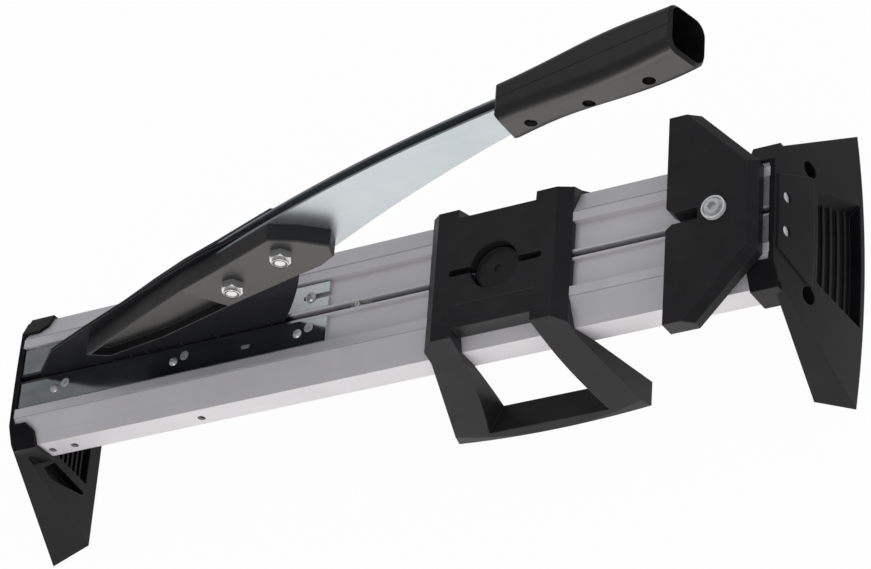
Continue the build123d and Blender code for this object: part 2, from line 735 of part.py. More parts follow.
def carrier_pocket():
    """Deep recess in the front half, left of a slanted step."""
    inside = offset(carrier_outline(), amount=-POCKET_RIM)
    step = from_pivot(POCKET_STEP_SHARES, CARRIER_LENGTH, CARRIER_HEIGHT, CARRIER_START, CARRIER_RISE)
    run_x = (step[1][0] - step[0][0]) / (step[1][1] - step[0][1])
    low, high = PIVOT_Z, PIVOT_Z + CARRIER_RISE + CARRIER_HEIGHT + OVERRUN
    at_low = step[0][0] + (low - step[0][1]) * run_x
    at_high = step[0][0] + (high - step[0][1]) * run_x
    left = PIVOT_X
    field = polygon([(left, low), (at_low, low), (at_high, high), (left, high)])
    return along_y(inside & field, -CARRIER_FRONT - OVERRUN, POCKET_DEPTH - CARRIER_FRONT)


def carrier_front():
    return carrier_half(-CARRIER_FRONT) - carrier_pocket()


def carrier_rear():
    return carrier_half(CARRIER_REAR)


def hexagon(across, x, z):
    return Pos(x, z) * RegularPolygon(across / math.sqrt(3), 6)


def hexagon_block(across, x, z, low, high, side):
    """Hexagon with its corners turned off at the end that a side of Y faces."""
    crown = rod_y(across / math.sqrt(3), low, high, x, z)
    crown = chamfer(crown.edges().sort_by(Axis.Y)[-1 if side > 0 else 0], HEX_CROWN)
    return along_y(hexagon(across, x, z), low, high) & crown


def carrier_bolts():
    """Hexagon bolts with their heads on the rear half, chamfered at their ends."""
    bolts = []
    for x, z in bolt_places():
        head = hexagon_block(BOLT_HEAD_ACROSS, x, z, CARRIER_REAR, CARRIER_REAR + BOLT_HEAD_HEIGHT, 1)
        shaft = rod_y(BOLT_RADIUS, -CARRIER_FRONT - BOLT_END, CARRIER_REAR, x, z)
        shaft = chamfer(shaft.faces().sort_by(Axis.Y)[0].edges(), BOLT_POINT)
        bolts.append(head + shaft)
    return bolts


def carrier_nuts():
    """Lock nuts with a round collar, on the front half."""
    nuts = []
    for x, z in bolt_places():
        nut = hexagon_block(NUT_ACROSS, x, z, -CARRIER_FRONT - NUT_HEIGHT, -CARRIER_FRONT, -1)
        top = -CARRIER_FRONT - NUT_HEIGHT
        collar = rod_y(NUT_COLLAR_RADIUS, top - NUT_COLLAR_HEIGHT, top, x, z)
        collar = fillet(collar.faces().sort_by(Axis.Y)[0].edges(), NUT_COLLAR_HEIGHT / 3)
        nuts.append(nut + collar - rod_y(BOLT_RADIUS + PIN_GAP, -SIDE, 0, x, z))
    return nuts


# Grip

def grip_point(run, drop=0.0):
    """Place in X and Z at a run along the grip's top line and a drop square to it."""
    angle = math.radians(GRIP_SLOPE)
    x = PIVOT_X + GRIP_START + run * math.cos(angle) + drop * math.sin(angle)
    z = PIVOT_Z + GRIP_RISE + run * math.sin(angle) - drop * math.cos(angle)
    return x, z


def grip_plane(run):
    angle = math.radians(GRIP_SLOPE)
    x, z = grip_point(run)
    return Plane(origin=(x, 0, z), x_dir=(0, 1, 0), z_dir=(math.cos(angle), 0, math.sin(angle)))


def grip_section(run, width, height, wall):
    """Rounded section at a run along the grip, thinned all round by a wall."""
    face = Rectangle(width - 2 * wall, height - 2 * wall)
    face = fillet(face.vertices().group_by(Axis.Y)[-1], GRIP_TOP_RADIUS - wall)
    face = fillet(face.vertices().group_by(Axis.Y)[0], GRIP_FOOT_RADIUS - wall)
    return grip_plane(run) * Pos(0, -height / 2) * face


def grip_form(wall, overrun=0.0):
    """Swelling body from its root to just before its end, thinned by a wall."""
    stations = [(run * GRIP_LENGTH, w * GRIP_WIDTH, h * GRIP_HEIGHT) for run, w, h in GRIP_STATION_SHARES]
    form = loft([grip_section(run, w, h, wall) for run, w, h in stations])
    run, w, h = stations[-1]
    end = GRIP_LENGTH + overrun
    rounding = 0.0 if overrun else GRIP_END_ROUNDING
    tail = loft([grip_section(run, w, h, wall), grip_section(end, w, h, wall + rounding)], ruled=True)
    return form + tail


def grip_screw_places():
    places = []
    for step in range(3):
        run = GRIP_SCREW_FIRST + step * GRIP_SCREW_PITCH
        places.append(grip_point(run, GRIP_SCREW_DROP + step * GRIP_SCREW_SLOPE))
    return places


def grip_blank():
    """Body cut upright at its root, with rounded corners there."""
    x0, z0 = grip_point(0)
    foot_z = grip_point(0, GRIP_STATION_SHARES[0][2] * GRIP_HEIGHT)[1]
    far = x0 + GRIP_LENGTH + GRIP_HEIGHT
    far_z = z0 + (far - x0) * math.tan(math.radians(GRIP_SLOPE))
    keep = polygon([(x0, z0), (x0, foot_z), (far, foot_z), (far, far_z)])
    keep = fillet(keep.vertices().sort_by_distance((x0, z0, 0))[0], GRIP_ROOT_TOP_RADIUS)
    keep = fillet(keep.vertices().sort_by_distance((x0, foot_z, 0))[0], GRIP_ROOT_RADIUS)
    half = GRIP_WIDTH / 2
    plan = polygon([(x0, -half), (far, -half), (far, half), (x0, half)])
    plan = fillet(plan.vertices().group_by(Axis.X)[0], GRIP_ROOT_PLAN_RADIUS)
    return grip_form(0) & along_y(keep, -GRIP_WIDTH, GRIP_WIDTH) & along_z(plan, 0, far_z)


def grip_half(side):
    """Hollow half with three screw bosses that reach the lever's tongue, and half of the seam's groove."""
    blank = grip_blank()
    x0, z0 = grip_point(GRIP_WALL)
    hollow = grip_form(GRIP_WALL, OVERRUN)
    hollow &= block((x0, x0 + 2 * GRIP_LENGTH), (-GRIP_WIDTH, GRIP_WIDTH), (0, z0 + GRIP_LENGTH))
    body = blank - hollow
    for x, z in grip_screw_places():
        body += blank & rod_y(GRIP_BOSS_RADIUS, -GRIP_WIDTH, GRIP_WIDTH, x, z)
    seam = GRIP_SEAM_WIDTH / 2
    far = x0 + GRIP_LENGTH + OVERRUN
    skin = block((x0 - OVERRUN, far), (-seam, seam), (0, z0 + GRIP_LENGTH))
    body -= skin - grip_form(GRIP_SEAM_DEPTH, OVERRUN)
    lever_face, web_start = lever_outline()
    body -= along_y(lever_face, -LEVER_EDGE, LEVER_EDGE)
    seat = GRIP_BORE_DEPTH - GRIP_SCREW_REACH
    for x, z in grip_screw_places():
        body -= rod_y(GRIP_SCREW_RADIUS + SCREW_GAP, seat, GRIP_SCREW_REACH - GRIP_WALL, x, z)
        body -= rod_y(GRIP_BORE_RADIUS, -GRIP_WIDTH, seat, x, z)
    near, far = sorted([0, side * GRIP_WIDTH])
    keep = block((x0 - GRIP_LENGTH, x0 + 2 * GRIP_LENGTH), (near, far), (0, z0 + GRIP_LENGTH))
    return body & keep


def grip_screws():
    """Screws from the front half into the rear half's bosses."""
    seat = GRIP_BORE_DEPTH - GRIP_SCREW_REACH
    end = GRIP_SCREW_REACH - GRIP_WALL - RUN_GAP
    screws = []
    for x, z in grip_screw_places():
        head = rod_y(GRIP_SCREW_HEAD, seat - SOCKET_DEPTH, seat, x, z)
        screws.append(head + rod_y(GRIP_SCREW_RADIUS, seat, end, x, z))
    return screws


# End feet, drawn at the beam's right end

def foot_share(height):
    return height / FOOT_CAP


def foot_out(height):
    """Distance of the foot's outer corners beyond the beam's end at a height."""
    return FOOT_BASE_OUT + (FOOT_CAP_OUT - FOOT_BASE_OUT) * foot_share(height)


def foot_in(height):
    return FOOT_BASE_IN + (FOOT_CAP_IN - FOOT_BASE_IN) * foot_share(height)


def foot_section(height):
    """Plan of the foot at a height: straight inside, slanted ends and a bowed outside."""
    share = foot_share(height)
    outer = (FOOT_BASE_WIDTH + (FOOT_CAP_WIDTH - FOOT_BASE_WIDTH) * share) / 2
    inner = (FOOT_BASE_INNER_WIDTH + (FOOT_CAP_INNER_WIDTH - FOOT_BASE_INNER_WIDTH) * share) / 2
    bulge = FOOT_BULGE + (FOOT_CAP_BULGE - FOOT_BULGE) * share
    x_in = BEAM_END - foot_in(height)
    x_out = BEAM_END + foot_out(height)
    sides = Polyline((x_out, -outer), (x_in, -inner), (x_in, inner), (x_out, outer))
    bow = ThreePointArc((x_out, outer), (x_out + bulge, 0), (x_out, -outer))
    return Plane.XY.offset(height) * make_face(Curve() + [sides, bow])


def foot_body(shift=0.0):
    return Pos(shift, 0, 0) * loft([foot_section(0), foot_section(FOOT_CAP)], ruled=True)


def foot_ear(side):
    """Flap that wraps the beam's slope and side next to its end."""
    across = EAR_THICKNESS * (math.sqrt(1 + SLOPE * SLOPE) - SLOPE)
    shoulder = EAR_THICKNESS * math.sqrt(1 + SLOPE * SLOPE)
    skirt = BEAM_BOTTOM - EAR_SKIRT_DROP
    ring = [
        (EAR_START, slope_height(EAR_START)),
        (EAR_START, slope_height(EAR_START) + shoulder),
        (SIDE + EAR_THICKNESS, SIDE_TOP + across),
        (SIDE + EAR_THICKNESS, skirt),
        (SIDE, skirt),
        (SIDE, SIDE_TOP),
    ]
    ear = along_x(polygon([(side * y, z) for y, z in ring]), BEAM_END - EAR_REACH, BEAM_END + FOOT_CAP_OUT)
    inner, outer = BEAM_END - EAR_REACH, BEAM_END + FOOT_CAP_OUT + OVERRUN
    far = SIDE + EAR_THICKNESS + OVERRUN
    plan = polygon([
        (inner, side * (EAR_START + EAR_CORNER)),
        (inner + EAR_CORNER, side * EAR_START),
        (outer, side * EAR_START),
        (outer, side * far),
        (inner, side * far),
    ])
    return ear & along_z(plan, skirt - OVERRUN, FOOT_CAP)


def foot_prism(top, base, top_width, base_width, low, high):
    """Upright wedge between two heights, extruded along X."""
    face = polygon([
        (-base_width / 2, base),
        (base_width / 2, base),
        (top_width / 2, top),
        (-top_width / 2, top),
    ])
    return along_x(face, low, high)


def foot_panel():
    """Slightly raised panel round the two screws."""
    prism = foot_prism(
        FOOT_CAP - PANEL_TOP_DROP, FOOT_CAP - PANEL_BASE_DROP, PANEL_TOP_WIDTH, PANEL_BASE_WIDTH,
        BEAM_END, BEAM_END + FOOT_BASE_OUT + FOOT_BULGE,
    )
    return foot_body(PANEL_RISE) & prism


def foot_louvres():
    """Scooped recess in the outer face, crossed by ribs."""
    near = BEAM_END - FOOT_BASE_IN
    far = BEAM_END + FOOT_BASE_OUT + FOOT_BULGE + OVERRUN
    inner = foot_body(-LOUVRE_DEPTH)

    def mouth(x):
        """Outline of the recess at X, narrower by the same amount on each side as it goes in."""
        top = LOUVRE_TOP_WIDTH / 2 + x - foot_face(LOUVRE_TOP)
        base = LOUVRE_BASE_WIDTH / 2 + x - foot_face(LOUVRE_BASE)
        face = polygon([(-base, LOUVRE_BASE), (base, LOUVRE_BASE), (top, LOUVRE_TOP), (-top, LOUVRE_TOP)])
        return Plane.YZ.offset(x) * face

    outside = loft([mouth(far - LOUVRE_RUN - OVERRUN), mouth(far)], ruled=True) - inner
    ribs_body = foot_body(-LOUVRE_RIB_RECESS)
    pitch = (LOUVRE_TOP - LOUVRE_BASE) / (LOUVRE_RIB_COUNT + 1)
    for step in range(LOUVRE_RIB_COUNT):
        z = LOUVRE_BASE + (step + 1) * pitch
        half = LOUVRE_RIB / 2
        rib = block((near, far), (-LOUVRE_BASE_WIDTH, LOUVRE_BASE_WIDTH), (z - half, z + half))
        outside -= rib & ribs_body
    return outside


def foot_wells():
    """Ribbed well and two slim wells in the inner face."""
    near = BEAM_END - FOOT_BASE_IN - OVERRUN
    far = BEAM_END + FOOT_BASE_OUT
    outer = foot_body(WELL_DEPTH)
    face_points = [
        (-WELL_BASE_WIDTH / 2, WELL_BASE), (WELL_BASE_WIDTH / 2, WELL_BASE),
        (WELL_TOP_WIDTH / 2, WELL_TOP), (-WELL_TOP_WIDTH / 2, WELL_TOP),
    ]
    well = along_x(polygon(face_points), near, far) - outer
    pitch = (WELL_TOP - WELL_BASE) / (WELL_RIB_COUNT + 1)
    ribs_body = foot_body(WELL_RIB_RECESS)
    for step in range(WELL_RIB_COUNT):
        z = WELL_BASE + (step + 1) * pitch
        half = LOUVRE_RIB / 2
        rib = block((near, far), (-WELL_BASE_WIDTH, WELL_BASE_WIDTH), (z - half, z + half))
        well -= rib & ribs_body
    wells = [well]
    half = FOOT_BASE_WIDTH / 2
    for side in (-1, 1):
        points = [(side * y * half, z * FOOT_CAP) for y, z in SLIM_WELL_SHARES]
        wells.append(along_x(polygon(points), near, far) - outer)
    return wells


def foot_screw_places():
    return [(side * PORT_OUT, PORT_HEIGHT) for side in (-1, 1)]


def foot_face(height):
    """Outermost X of the raised panel at a height, on the middle of the foot."""
    bulge = FOOT_BULGE + (FOOT_CAP_BULGE - FOOT_BULGE) * foot_share(height)
    return BEAM_END + foot_out(height) + bulge + PANEL_RISE


def foot_shoulder_cut(side):
    """Space above the ear's slope, cut from the top of the foot."""
    across = EAR_THICKNESS * math.sqrt(1 + SLOPE * SLOPE)
    far = SIDE + FOOT_BASE_WIDTH
    face = polygon([
        (side * RIDGE_EDGE, slope_height(RIDGE_EDGE) + across),
        (side * far, slope_height(far) + across),
        (side * far, slope_height(RIDGE_EDGE) + across),
    ])
    return along_x(face, BEAM_END - FOOT_BASE_IN - OVERRUN, BEAM_END + FOOT_BASE_OUT)


def right_foot():
    foot = foot_body() + foot_panel()
    for side in (-1, 1):
        foot -= foot_shoulder_cut(side) & block(
            (BEAM_END - FOOT_BASE_OUT, BEAM_END + FOOT_BASE_OUT), (-FOOT_BASE_WIDTH, FOOT_BASE_WIDTH),
            (SIDE_TOP - EAR_THICKNESS, RIDGE_TOP + OVERRUN),
        )
    foot -= along_x(beam_envelope(0), BEAM_END - FOOT_BASE_IN - OVERRUN, BEAM_END)
    foot += foot_ear(-1)
    foot += foot_ear(1)
    foot -= foot_louvres()
    for well in foot_wells():
        foot -= well
    for side in (-1, 1):
        outer = BEAM_END + FOOT_BASE_OUT + OVERRUN
        bottom = BEAM_END + foot_out(HOLE_HEIGHT) - HOLE_DEPTH
        foot -= rod_x(HOLE_RADIUS, bottom, outer, side * HOLE_OUT, HOLE_HEIGHT)
    for y, z in foot_screw_places():
        foot -= rod_x(FOOT_SCREW_RADIUS + SCREW_GAP, BEAM_END - OVERRUN, foot_face(z) + OVERRUN, y, z)
        foot -= rod_x(FOOT_SCREW_HEAD + SCREW_GAP, foot_face(z) - SINK_DEPTH, foot_face(z) + OVERRUN, y, z)
    return foot


def left_foot():
    return mirror(right_foot(), about=Plane.YZ)


def foot_screws():
    screws = []
    for y, z in foot_screw_places():
        seat = foot_face(z) - SINK_DEPTH
        screw = rod_x(FOOT_SCREW_HEAD, seat, seat + SINK_DEPTH / 2, y, z)
        screw += rod_x(FOOT_SCREW_RADIUS - PIN_GAP, seat - FOOT_SCREW_LENGTH, seat, y, z)
        screws.append(screw)
        screws.append(mirror(screw, about=Plane.YZ))
    return screws


# Sliding support, drawn over the beam's middle and moved to its place

def support_frame():
    """Saddle outline seen along the beam, crossed with its outline seen from the front."""
    top = SIDE - SUPPORT_TOP_INSET
    hip = SIDE + SUPPORT_HIP_WALL
    base = SIDE + SUPPORT_SPREAD
    inner = base - SUPPORT_LEG_THICKNESS - SUPPORT_BASE_BULGE
    side_in = SIDE + RUN_GAP
    low = SUPPORT_BASE_HEIGHT
    outside = [(side_in, BEAM_BOTTOM), (inner, low), (base, low), (hip, SIDE_TOP), (top, SUPPORT_TOP)]
    half = beam_top_outline(RUN_GAP) + outside
    ends = polygon(half + [(-y, z) for y, z in reversed(half)])
    saddle = along_x(ends, -SUPPORT_BASE_WIDTH, SUPPORT_BASE_WIDTH)
    front = [
        (SUPPORT_TOP_WIDTH / 2, SUPPORT_TOP),
        (SUPPORT_BED_WIDTH / 2, RIDGE_TOP),
        (SUPPORT_BED_WIDTH / 2, SIDE_TOP),
        (SUPPORT_BASE_WIDTH / 2, low),
    ]
    front_face = polygon(front + [(-x, z) for x, z in reversed(front)])
    saddle &= along_y(front_face, -2 * base, 2 * base)
    half_x = SUPPORT_BASE_WIDTH / 2
    bulge = base - SUPPORT_BASE_BULGE
    back = ThreePointArc((half_x, bulge), (0, base), (-half_x, bulge))
    front_bow = ThreePointArc((-half_x, -bulge), (0, -base), (half_x, -bulge))
    ends_lines = [Line((-half_x, bulge), (-half_x, -bulge)), Line((half_x, -bulge), (half_x, bulge))]
    plan = make_face(Curve() + [back, front_bow] + ends_lines)
    return saddle & along_z(plan, 0, SUPPORT_TOP + OVERRUN)


def support_window(side):
    """Tapered opening through one frame, from the top plate's ledge down to the bar."""
    low = SUPPORT_BASE_HEIGHT + SUPPORT_BAR_HEIGHT
    high = SUPPORT_TOP + OVERRUN
    near = SIDE - SUPPORT_TOP_INSET - WINDOW_LEDGE
    far = SIDE + SUPPORT_SPREAD + OVERRUN

    def gate(distance, base_width):
        half = base_width / 2
        top = WINDOW_TOP_WIDTH / 2
        face = polygon([(-half, low), (half, low), (top, high), (-top, high)])
        return Plane.XZ.offset(-side * distance) * face

    return loft([gate(near, WINDOW_INNER_WIDTH), gate(far, WINDOW_BASE_WIDTH)], ruled=True)


def sliding_support():
    saddle = support_frame()
    for side in (-1, 1):
        saddle -= support_window(side)
    saddle -= rod_z(RECESS_RADIUS, BEAM_TOP, SUPPORT_TOP + OVERRUN, 0, 0)
    slit = SlotOverall(SLIT_LEFT_REACH + SLIT_RIGHT_REACH, SLIT_WIDTH)
    slit = Pos((SLIT_RIGHT_REACH - SLIT_LEFT_REACH) / 2, 0) * slit
    saddle -= along_z(slit, BED, SUPPORT_TOP + OVERRUN)
    half = LABEL_LENGTH / 2
    side = LABEL_WIDTH / 2
    saddle -= block(
        (-half, half),
        (-LABEL_OUT - side, side - LABEL_OUT),
        (SUPPORT_TOP - LABEL_DEPTH, SUPPORT_TOP + OVERRUN),
    )
    return Pos(SUPPORT_CENTRE, 0, 0) * saddle


def support_clamp_disc():
    """Flat clamp disc in the recess, with a dimple in its middle."""
    low = BEAM_TOP + RUN_GAP
    high = low + DISC_THICKNESS
    disc = rod_z(DISC_RADIUS, low, high, SUPPORT_CENTRE, 0)
    disc = chamfer(disc.faces().sort_by(Axis.Z)[-1].edges(), DISC_RIM)
    disc -= rod_z(DIMPLE_RADIUS, high - DIMPLE_DEPTH, high, SUPPORT_CENTRE, 0)
    return disc - rod_z(SLOT_BOLT_RADIUS, low - OVERRUN, low + DISC_THICKNESS / 2, SUPPORT_CENTRE, 0)


def support_clamp_screw():
    low = BEAM_TOP + RUN_GAP
    end = LIP_BOTTOM - RUN_GAP - SLOT_NUT_THICKNESS - RUN_GAP
    return rod_z(SLOT_BOLT_RADIUS, end, low + DISC_THICKNESS / 2, SUPPORT_CENTRE, 0)


def support_slot_nut():
    return slot_nut(SUPPORT_CENTRE, SLOT_BOLT_RADIUS + PIN_GAP)


# Angle stop, drawn about its bolt and moved to its place

def stop_outline(inset=0.0):
    half = STOP_LENGTH / 2
    nose = STOP_NOSE_LENGTH / 2
    face = polygon([
        (-STOP_BACK, -half), (-STOP_SHOULDER, -half), (STOP_NOSE, -nose),
        (STOP_NOSE, nose), (-STOP_SHOULDER, half), (-STOP_BACK, half),
    ])
    return offset(face, amount=-inset) if inset else face


def stop_notch(spread):
    """Open notch in the long edge, with a wider mouth, grown by a spread."""
    half = STOP_NOTCH_WIDTH / 2 + spread
    mouth = STOP_MOUTH_WIDTH / 2 + spread
    back = -STOP_BACK
    return polygon([
        (back - OVERRUN, -mouth), (back, -mouth), (back + STOP_MOUTH_DEPTH, -half),
        (back + STOP_NOTCH_DEPTH + spread, -half), (back + STOP_NOTCH_DEPTH + spread, half),
        (back + STOP_MOUTH_DEPTH, half), (back, mouth), (back - OVERRUN, mouth),
    ])


def angle_stop():
    """Hollow plate with bevelled outer edges, a sighting notch and a boss round its bolt."""
    stop = along_z(stop_outline(), STOP_BOTTOM, STOP_TOP)
    rim = stop.faces().sort_by(Axis.Z)[-1].edges().filter_by(lambda edge: edge.center().X > -STOP_SHOULDER)
    stop = chamfer(rim, STOP_BEVEL)
    hollow = stop_outline(STOP_WALL) - stop_notch(STOP_WALL) - Circle(STOP_BOSS_RADIUS)
    cavity = along_z(hollow, STOP_BOTTOM - OVERRUN, STOP_TOP - STOP_WALL)
    inner_rim = cavity.faces().sort_by(Axis.Z)[-1].edges()
    inner_rim = inner_rim.filter_by(lambda edge: edge.center().X > -STOP_SHOULDER)
    inner_rim = inner_rim.filter_by(lambda edge: math.hypot(*edge.center().to_tuple()[:2]) > STOP_NOSE / 2)
    stop -= chamfer(inner_rim.filter_by(GeomType.LINE), STOP_BEVEL)
    stop -= along_z(stop_notch(0), STOP_BOTTOM - OVERRUN, STOP_TOP + OVERRUN)
    stop -= rod_z(SLOT_BOLT_RADIUS + PIN_GAP, STOP_BOTTOM - OVERRUN, STOP_TOP + OVERRUN, 0, 0)
    return Pos(STOP_CENTRE, 0, 0) * stop


def stop_washer():
    """Cup washer: a flat ring with a raised rim round the bolt's head."""
    disc = Circle(STOP_WASHER_RADIUS)
    ring = disc - Circle(SLOT_BOLT_RADIUS + SCREW_GAP)
    rim = disc - Circle(STOP_WASHER_RADIUS - STOP_WASHER_RIM)
    low = STOP_TOP + RUN_GAP
    high = low + STOP_WASHER_THICKNESS
    centre = Pos(STOP_CENTRE, 0)
    return along_z(centre * ring, low, high) + along_z(centre * rim, high, high + STOP_WASHER_CUP)


def stop_clamp_bolt():
    seat = STOP_TOP + RUN_GAP + STOP_WASHER_THICKNESS
    end = LIP_BOTTOM - RUN_GAP - SLOT_NUT_THICKNESS - RUN_GAP
    top = seat + STOP_BOLT_HEAD_HEIGHT
    head = rod_z(STOP_BOLT_HEAD_RADIUS, seat, top, STOP_CENTRE, 0)
    head -= Pos(STOP_CENTRE, 0, top - STOP_SOCKET_DEPTH) * hex_socket(STOP_SOCKET_RADIUS, STOP_SOCKET_DEPTH)
    return head + rod_z(SLOT_BOLT_RADIUS, end, seat, STOP_CENTRE, 0)


def stop_slot_nut():
    return slot_nut(STOP_CENTRE, SLOT_BOLT_RADIUS)


# Every piece, by the name of its file

PIECES = {
    "base_beam": base_beam,
    "left_foot": left_foot,
    "right_foot": right_foot,
    "foot_screws": foot_screws,
    "front_cutting_plate": front_cutting_plate,
    "rear_cutting_plate": rear_cutting_plate,
    "plate_dome_screws": plate_dome_screws,
    "plate_sunk_screws": plate_sunk_screws,
    "rear_plate_screws": rear_plate_screws,
    "rear_plate_washers": rear_plate_washers,
    "front_pivot_cheek": lambda: pivot_cheek(-1),
    "rear_pivot_cheek": lambda: pivot_cheek(1),
    "pivot_pin": pivot_pin,
    "pivot_bush": pivot_bush,
    "block_screws": block_screws,
    "blade_guide": blade_guide,
    "guide_screws": guide_screws,
    "slot_stop_nut": slot_stop_nut,
    "slot_stop_screw": slot_stop_screw,
    "blade": blade,
    "blade_spacers": blade_spacers,
    "lever_arm": lever_arm,
    "carrier_front": carrier_front,
    "carrier_rear": carrier_rear,
    "carrier_bolts": carrier_bolts,
    "carrier_nuts": carrier_nuts,
    "grip_front": lambda: grip_half(-1),
    "grip_rear": lambda: grip_half(1),
    "grip_screws": grip_screws,
    "sliding_support": sliding_support,
    "support_clamp_disc": support_clamp_disc,
    "support_clamp_screw": support_clamp_screw,
    "support_slot_nut": support_slot_nut,
    "angle_stop": angle_stop,
    "stop_washer": stop_washer,
    "stop_clamp_bolt": stop_clamp_bolt,
    "stop_slot_nut": stop_slot_nut,
}

os.makedirs("parts", exist_ok=True)
for name, make in PIECES.items():
    made = make()
    if isinstance(made, list):
        made = Compound(children=[Pos(-ORIGIN_SHIFT, 0, 0) * piece.solid() for piece in made])
    else:
        made = Pos(-ORIGIN_SHIFT, 0, 0) * made
    export_step(made, "parts/" + name + ".step")
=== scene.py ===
import math

import bpy
import numpy as np
from mathutils import Matrix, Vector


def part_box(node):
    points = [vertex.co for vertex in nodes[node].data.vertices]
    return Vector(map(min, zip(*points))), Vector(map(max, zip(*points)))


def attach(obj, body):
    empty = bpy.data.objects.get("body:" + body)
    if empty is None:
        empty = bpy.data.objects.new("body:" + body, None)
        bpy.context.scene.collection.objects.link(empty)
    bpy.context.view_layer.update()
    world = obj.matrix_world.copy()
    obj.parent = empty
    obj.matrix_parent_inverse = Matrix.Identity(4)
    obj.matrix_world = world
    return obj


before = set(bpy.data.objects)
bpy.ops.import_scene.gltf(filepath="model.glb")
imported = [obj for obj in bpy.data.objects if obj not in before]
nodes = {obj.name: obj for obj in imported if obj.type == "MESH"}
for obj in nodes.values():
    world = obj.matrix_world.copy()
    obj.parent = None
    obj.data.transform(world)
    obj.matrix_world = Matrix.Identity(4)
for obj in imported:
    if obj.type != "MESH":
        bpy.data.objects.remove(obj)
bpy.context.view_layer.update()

# Camera
# A long lens looks down on the cutter from its front right, rolled so that the beam runs up to
# the right.
CAMERA_PLACE = (1.4499, -1.5248, 2.3712)
CAMERA_RIGHT = (0.8675, 0.0663, -0.4931)
CAMERA_UP = (0.1976, 0.8636, 0.4638)
CAMERA_BACK = (0.4566, -0.4998, 0.736)
LENS = 138.58
SENSOR_WIDTH = 36.0
CAMERA_REACH = 20.0

camera = bpy.data.objects.new("camera", bpy.data.cameras.new("camera"))
camera.data.lens = LENS
camera.data.sensor_width = SENSOR_WIDTH
camera.data.clip_end = CAMERA_REACH
axes = Matrix((CAMERA_RIGHT, CAMERA_UP, CAMERA_BACK)).transposed().to_4x4()
camera.matrix_world = Matrix.Translation(CAMERA_PLACE) @ axes
bpy.context.scene.collection.objects.link(camera)
bpy.context.scene.camera = camera
bpy.context.scene.view_settings.view_transform = "Standard"


# Shading
# Helpers for all finishes: arithmetic on the sockets of a node tree, coordinates in metres,
# noise, worn edges and relief.
WHITE = (1.0, 1.0, 1.0, 1.0)
BEVEL_SAMPLES = 4
# 1 less the cosine between the two normals, where an edge starts to show and where it is full.
EDGE_TURN = (0.01, 0.25)


class Shade:
    """A socket of a node tree that takes part in arithmetic: each operation adds a Math node."""

    def __init__(self, tree, socket=None):
        self.tree = tree
        self.socket = socket

    def make(self, kind, inputs=None, output=0, **settings):
        """Any other node: its settings first, then the values or links of its sockets."""
        node = self.tree.nodes.new(kind)
        for key, value in settings.items():
            setattr(node, key, value)
        for key, value in (inputs or {}).items():
            if isinstance(value, Shade):
                self.tree.links.new(value.socket, node.inputs[key])
            else:
                node.inputs[key].default_value = value
        return Shade(self.tree, node.outputs[output])

    def lead_to(self, kind):
        """Link this shade to a new output node."""
        out = self.tree.nodes.new(kind)
        self.tree.links.new(self.socket, out.inputs[0])

    def math(self, operation, first, second):
        return self.make("ShaderNodeMath", {0: first, 1: second}, operation=operation)

    def __add__(self, other):
        return self.math("ADD", self, other)

    def __radd__(self, other):
        return self.math("ADD", other, self)

    def __rsub__(self, other):
        return self.math("SUBTRACT", other, self)

    def __mul__(self, other):
        return self.math("MULTIPLY", self, other)

    def held(self, start, end):
        """0 where the value is at the start, 1 where it is at the end, and held beyond both."""
        inputs = {0: self, 1: start, 2: end, 3: 0.0, 4: 1.0}
        return self.make("ShaderNodeMapRange", inputs, clamp=True)

    def blend(self, first, second):
        """One colour changing into another as this value goes from 0 to 1."""
        inputs = {0: self, 6: first, 7: second}
        return self.make("ShaderNodeMix", inputs, output=2, data_type="RGBA")


def new_finish(name):
    """Material without nodes, and a Shade to start from."""
    material = bpy.data.materials.new(name)
    material.use_nodes = True
    material.node_tree.nodes.clear()
    return material, Shade(material.node_tree)


def light_path(start, output):
    """1 for rays of the kind that the output names, and 0 for all others."""
    return start.make("ShaderNodeLightPath", output=output)


def coordinates(start, stretch=(1.0, 1.0, 1.0), turn=(0.0, 0.0, 0.0)):
    """Object coordinates in metres, turned and stretched along each axis."""
    place = start.make("ShaderNodeTexCoord", output="Object")
    inputs = {"Vector": place, "Rotation": turn, "Scale": stretch}
    return start.make("ShaderNodeMapping", inputs)


def axis_values(start):
    """The X, Y and Z of the object coordinates."""
    place = coordinates(start)
    return [start.make("ShaderNodeSeparateXYZ", {0: place}, output=axis) for axis in range(3)]


def noise(start, place, scale, detail=3.0, roughness=0.5):
    """Cloudy noise from 0 to 1."""
    inputs = {"Vector": place, "Scale": scale, "Detail": detail, "Roughness": roughness}
    return start.make("ShaderNodeTexNoise", inputs)


def edges(start, width):
    """1 on the edges of a piece and 0 on its flat faces, and the normals rounded at the edges.

    The first comes from the angle between the rounded and the flat normals.
    """
    rounded = start.make("ShaderNodeBevel", {"Radius": width}, samples=BEVEL_SAMPLES)
    flat = start.make("ShaderNodeNewGeometry", output="Normal")
    same = start.make(
        "ShaderNodeVectorMath", {0: rounded, 1: flat}, output=1, operation="DOT_PRODUCT"
    )
    return (1 - same).held(*EDGE_TURN), rounded


def relief(start, height, strength, distance, rounded=None):
    """Normals of a bumpy face: the height goes from 0 to 1, and the distance is in metres."""
    inputs = {"Strength": strength, "Distance": distance, "Height": height}
    if rounded is not None:
        inputs["Normal"] = rounded
    return start.make("ShaderNodeBump", inputs)


def cover(start, colour, metallic, roughness, normal, shine=0.5):
    """Surface of a finish, linked to the output of its material."""
    inputs = {
        "Base Color": colour,
        "Metallic": metallic,
        "Roughness": roughness,
        "Normal": normal,
        "Specular IOR Level": shine,
    }
    start.make("ShaderNodeBsdfPrincipled", inputs).lead_to("ShaderNodeOutputMaterial")


def dress(material, *names):
    """Give CAD pieces a finish."""
    for name in names:
        mesh = nodes[name].data
        mesh.materials.clear()
        mesh.materials.append(material)


